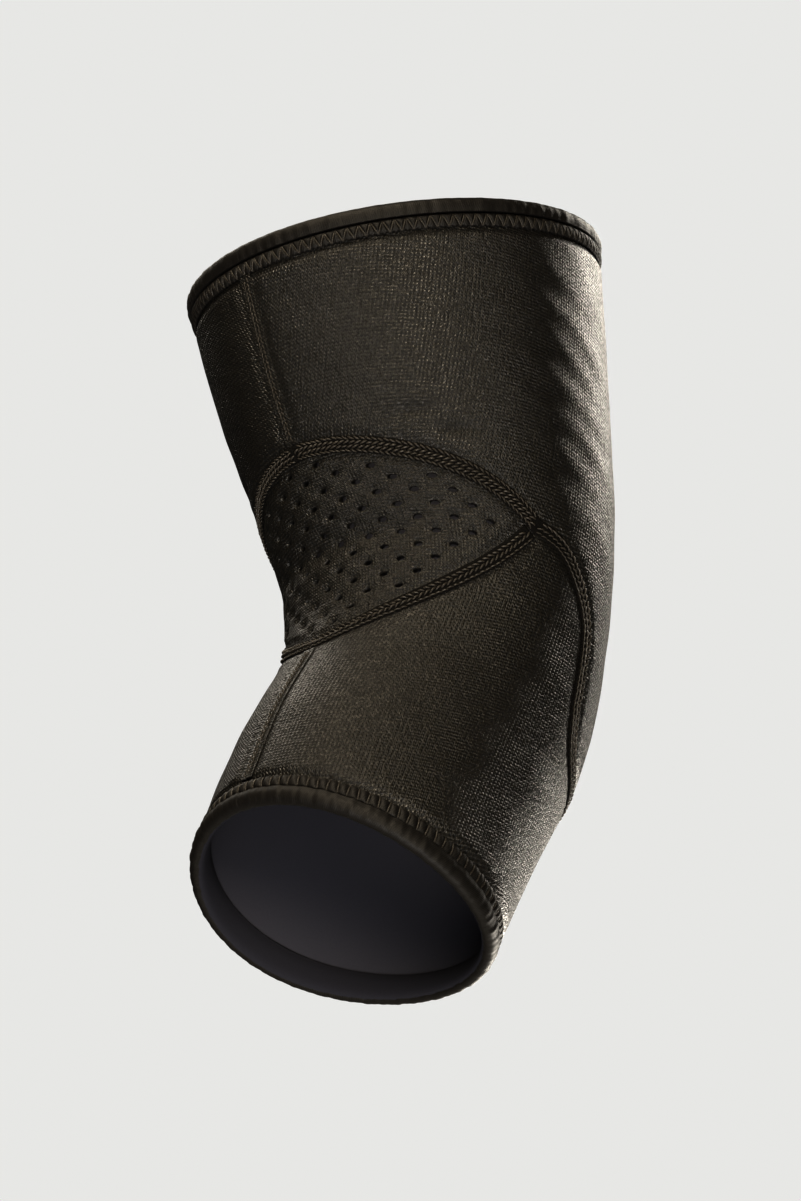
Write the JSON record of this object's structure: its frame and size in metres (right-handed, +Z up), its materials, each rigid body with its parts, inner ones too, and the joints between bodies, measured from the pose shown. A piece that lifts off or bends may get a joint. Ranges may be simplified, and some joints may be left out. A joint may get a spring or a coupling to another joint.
{
  "type": "elbow brace",
  "caption": "Pull-on elbow sleeve of foam-backed knit, half bent, with a perforated panel in the crook, flat seams and stitched hems.",
  "frame": {"origin": "middle of the elbow joint, on the arm's centreline inside the sleeve", "axes": "+Z up the upper arm towards the shoulder, -Y forward on the side of the crook, towards which the forearm bends, +X across the arm"},
  "size_m": [0.123, 0.1581, 0.2176],
  "materials": {
    "knit": "matt jersey knit over foam, brown-black",
    "perforated_knit": "matt knit over foam with rows of small holes, brown-black",
    "folded_edge": "smooth folded knit edge, brown-black",
    "seam_thread": "stretch thread in flat stitches, dull sheen"
  },
  "bodies": {
    "root": {"upper_arm_panel": "knit", "forearm_panel": "knit", "crook_panel": "perforated_knit", "elbow_seam": "seam_thread", "crook_lower_seam": "seam_thread", "upper_front_seam": "seam_thread", "forearm_front_seam": "seam_thread", "top_hem": "folded_edge", "top_hem_stitching": "seam_thread", "bottom_hem": "folded_edge", "bottom_hem_stitching": "seam_thread"}
  },
  "joints": []
}
